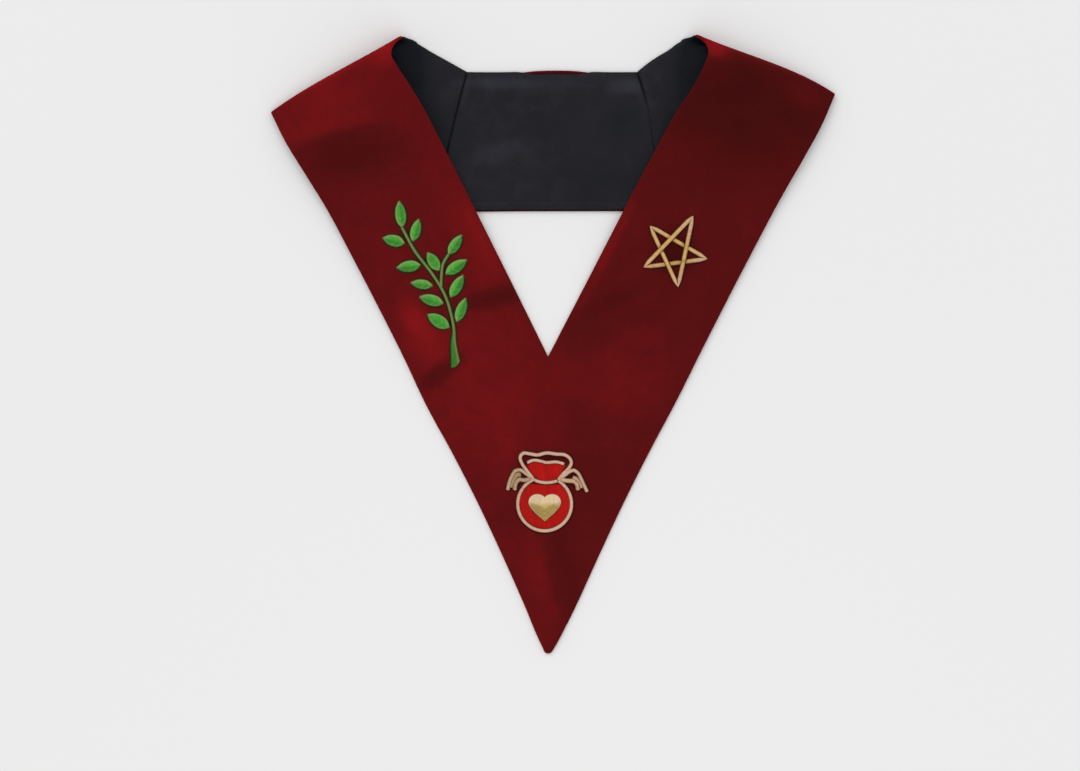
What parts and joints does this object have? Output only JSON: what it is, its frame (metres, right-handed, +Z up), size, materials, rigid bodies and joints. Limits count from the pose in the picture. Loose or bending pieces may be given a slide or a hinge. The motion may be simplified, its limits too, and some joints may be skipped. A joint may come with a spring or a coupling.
{
  "type": "masonic collar",
  "caption": "Velvet V-shaped ceremonial collar lined with satin, lying front up with embroidered branch, star and pouch.",
  "frame": {"origin": "middle of the collar's bounding box in plan, on the surface that it lies on", "axes": "+Z up from the surface to the collar's front face, +Y from the V's tip to the back of the neck, +X to the right as seen from above"},
  "size_m": [0.4142, 0.4566, 0.0241],
  "materials": {
    "velvet": "cut-pile velvet",
    "satin_lining": "black satin",
    "leaf_thread": "satin-stitched rayon",
    "stem_thread": "satin-stitched rayon",
    "gold_thread": "couched gold thread",
    "pale_cord": "couched pale gold cord",
    "red_satin": "satin-stitched rayon",
    "heart_thread": "laid gold thread"
  },
  "bodies": {
    "root": {"front_velvet": "velvet", "back_velvet": "velvet", "front_lining": "satin_lining", "back_lining": "satin_lining", "branch_stem": "stem_thread", "branch_twig": "stem_thread", "leaf_1": "leaf_thread", "leaf_2": "leaf_thread", "leaf_3": "leaf_thread", "leaf_4": "leaf_thread", "leaf_5": "leaf_thread", "leaf_6": "leaf_thread", "leaf_7": "leaf_thread", "leaf_8": "leaf_thread", "leaf_9": "leaf_thread", "leaf_10": "leaf_thread", "leaf_11": "leaf_thread", "leaf_12": "leaf_thread", "star": "gold_thread", "pouch_body": "red_satin", "pouch_neck": "red_satin", "pouch_outline": "pale_cord", "pouch_lip": "pale_cord", "pouch_tie": "pale_cord", "knot_left": "pale_cord", "knot_right": "pale_cord", "heart": "heart_thread"}
  },
  "joints": []
}
